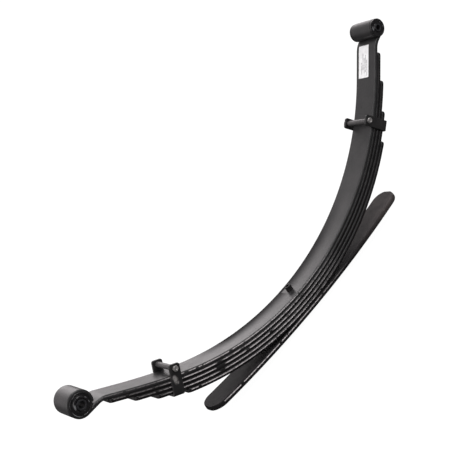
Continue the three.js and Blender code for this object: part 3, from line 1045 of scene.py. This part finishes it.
def clip_strap(name):
    bend = CLIP["inner_bend"]
    down = CLIP["arm_top"] - CLIP_FLOOR - bend
    run = [
        {"length": down},
        {"radius": bend, "turn": 90},
        {"length": 2 * (ARM_INNER - bend)},
        {"radius": bend, "turn": 90},
        {"length": down},
    ]
    path = Path(walk(run, (-ARM_INNER, CLIP["arm_top"], math.radians(-90))))

    def strap_space(a, b, heading, across, up):
        return Vector((across, a - up * math.sin(heading), b + up * math.cos(heading)))

    strap = sweep(
        f"{name}_clip_strap_steel", path, strap_space, CLIP["width"] / 2, -CLIP["thickness"], 0.0,
        0.0009, CLIP["arm_corner"], unevenness=0.0001,
    )
    hole = CLIP["bolt_shank"] + GAP
    cross = turned_solid(
        "cutter", [(hole, -2 * ARM_OUTER), (hole, 2 * ARM_OUTER)], about_y(0, CLIP["bolt_height"]), 48
    )
    return cut(strap, cross, bore_z(hole, CLIP_BOTTOM - 0.001, CLIP_FLOOR + 0.001))


def clip_bolt(name):
    z = CLIP["bolt_height"]
    seat = ARM_OUTER + GAP
    end = seat + CLIP["nut_height"] + CLIP["tail"]
    head = hex_solid(
        f"{name}_clip_bolt_steel", CLIP["head_flats"], seat, seat + CLIP["head_height"],
        about_y(0, z, -1), False, 0.0, 0.0004,
    )
    shank = CLIP["bolt_shank"]
    rod = turned_solid(
        "rod", [(shank, -seat + 0.0002), (shank, seat - 0.001)], about_y(0, z), 48
    )
    tail = threaded("tail", shank, seat - 0.001, end, about_y(0, z))
    return join(head, rod, tail)


def clip_nut(name):
    low = ARM_OUTER + GAP
    return hex_solid(
        f"{name}_clip_nut_steel", CLIP["head_flats"], low, low + CLIP["nut_height"],
        about_y(0, CLIP["bolt_height"]), True, CLIP["bolt_shank"] + GAP, 0.0003,
    )


def clip_spacer(name):
    half = ARM_INNER - GAP
    inner = CLIP["bolt_shank"] + GAP
    profile = [
        (inner, -half, 0.0003),
        (CLIP["spacer"], -half, 0.0004),
        (CLIP["spacer"], half, 0.0004),
        (inner, half, 0.0003),
    ]
    place = about_y(0, CLIP["bolt_height"])
    return turned_ring(f"{name}_clip_spacer_tube", with_supports(fillet(profile)), place)


def clip_rivet(name):
    under = CLIP_BOTTOM - GAP
    top = -(CLIP["leaves"] - 1) * LEAF_PITCH - GAP
    head, height = CLIP["rivet_head"], CLIP["rivet_head_height"]
    dome = [
        (head * math.sin(math.radians(a)), under - height * math.cos(math.radians(a)))
        for a in range(3, 91, 6)
    ]
    profile = [*dome, (head, under), (CLIP["bolt_shank"], under), (CLIP["bolt_shank"], top)]
    return turned_solid(f"{name}_clip_rivet_steel", profile, about_z, 64)


# ---- Label ----
def label():
    half = (LABEL["y_high"] - LABEL["y_low"]) / 2
    middle = (LABEL["y_high"] + LABEL["y_low"]) / 2
    lift = 0.00008
    return sweep(
        "label_sheet", arch.between(LABEL["front"], LABEL["rear"]), leaf_space, half,
        lift, lift + LABEL["thickness"], 0.00008, 0.0015, middle,
    )


# ---- Assembly ----
LEAF_PAINT = paint_material("leaf_paint", (0.0025, 0.0022, 0.0026), (0.0065, 0.0056, 0.006), (0.3, 0.42))
LEAF_PAINT.node_tree.nodes["Principled BSDF"].inputs["Specular IOR Level"].default_value = 0.3
OVERLOAD_PAINT = overload_material()
CLIP_PAINT = strap_material()
BOLT_BLACK = metal_material("bolt_black", (0.003, 0.003, 0.003), (0.02, 0.018, 0.018), (0.35, 0.5), 0.1)
BOLT_BLACK.node_tree.nodes["Principled BSDF"].inputs["Specular IOR Level"].default_value = 0.15
CLIP_BOLT_GREY = metal_material("clip_bolt_grey", (0.2, 0.195, 0.19), (0.5, 0.48, 0.47), (0.28, 0.5), 0.7)
SPACER_GREY = metal_material("spacer_grey", (0.05, 0.049, 0.05), (0.12, 0.115, 0.115), (0.35, 0.5), 0.3)
SLEEVE_STEEL = metal_material("sleeve_steel", (0.015, 0.015, 0.017), (0.05, 0.05, 0.055), (0.3, 0.5), 0.5)
BUSHING = bushing_material()

PACK = "leaf_pack"
finish_piece(main_leaf(), main_leaf_material(), PACK, ["main_leaf"])
for depth, (leaf, front_end, rear_end) in enumerate(SHORT_LEAVES, 1):
    finish_piece(short_leaf(leaf, front_end, rear_end, depth), LEAF_PAINT, PACK, [leaf])
finish_piece(overload_leaf(), OVERLOAD_PAINT, PACK, ["overload_leaf"])
finish_piece(center_bolt(), BOLT_BLACK, PACK, ["center_bolt"])
finish_piece(center_nut(), BOLT_BLACK, PACK, ["center_nut"])

for eye, centre in ((FRONT_EYE, FRONT_CENTRE), (REAR_EYE, REAR_CENTRE)):
    which = eye["name"]
    for word, side in (("left", -1), ("right", 1)):
        half_bush = bushing_half(eye, centre, side, word)
        finish_piece(half_bush, BUSHING, PACK, [f"{which}_bushing_{word}"])
    tube = sleeve(eye, centre)
    finish_piece(tube, SLEEVE_STEEL, f"{which}_eye_sleeve", [f"{which}_sleeve"])

CLIP_PIECES = [
    ("strap", clip_strap, CLIP_PAINT, "clip_paint"),
    ("bolt", clip_bolt, CLIP_BOLT_GREY, "clip_bolt"),
    ("nut", clip_nut, CLIP_BOLT_GREY, "clip_bolt"),
    ("spacer", clip_spacer, SPACER_GREY, "clip_paint"),
    ("rivet", clip_rivet, CLIP_PAINT, "clip_paint"),
]
for clip, station in CLIPS:
    for kind, make, material, slot_name in CLIP_PIECES:
        part = make(clip)
        part.data.transform(clip_matrix(station))
        finish_piece(part, material, PACK, [f"{clip}_clip_{kind}"])

finish_piece(label(), label_material(), PACK, ["label"])

make_world()
make_sun("key", (0.46, -0.40, 0.79), 1.7, 26)
make_sun("front", (0.30, -0.86, 0.42), 0.95, 30)
make_sun("left", (-0.74, -0.12, 0.66), 1.0, 40)
make_floor()
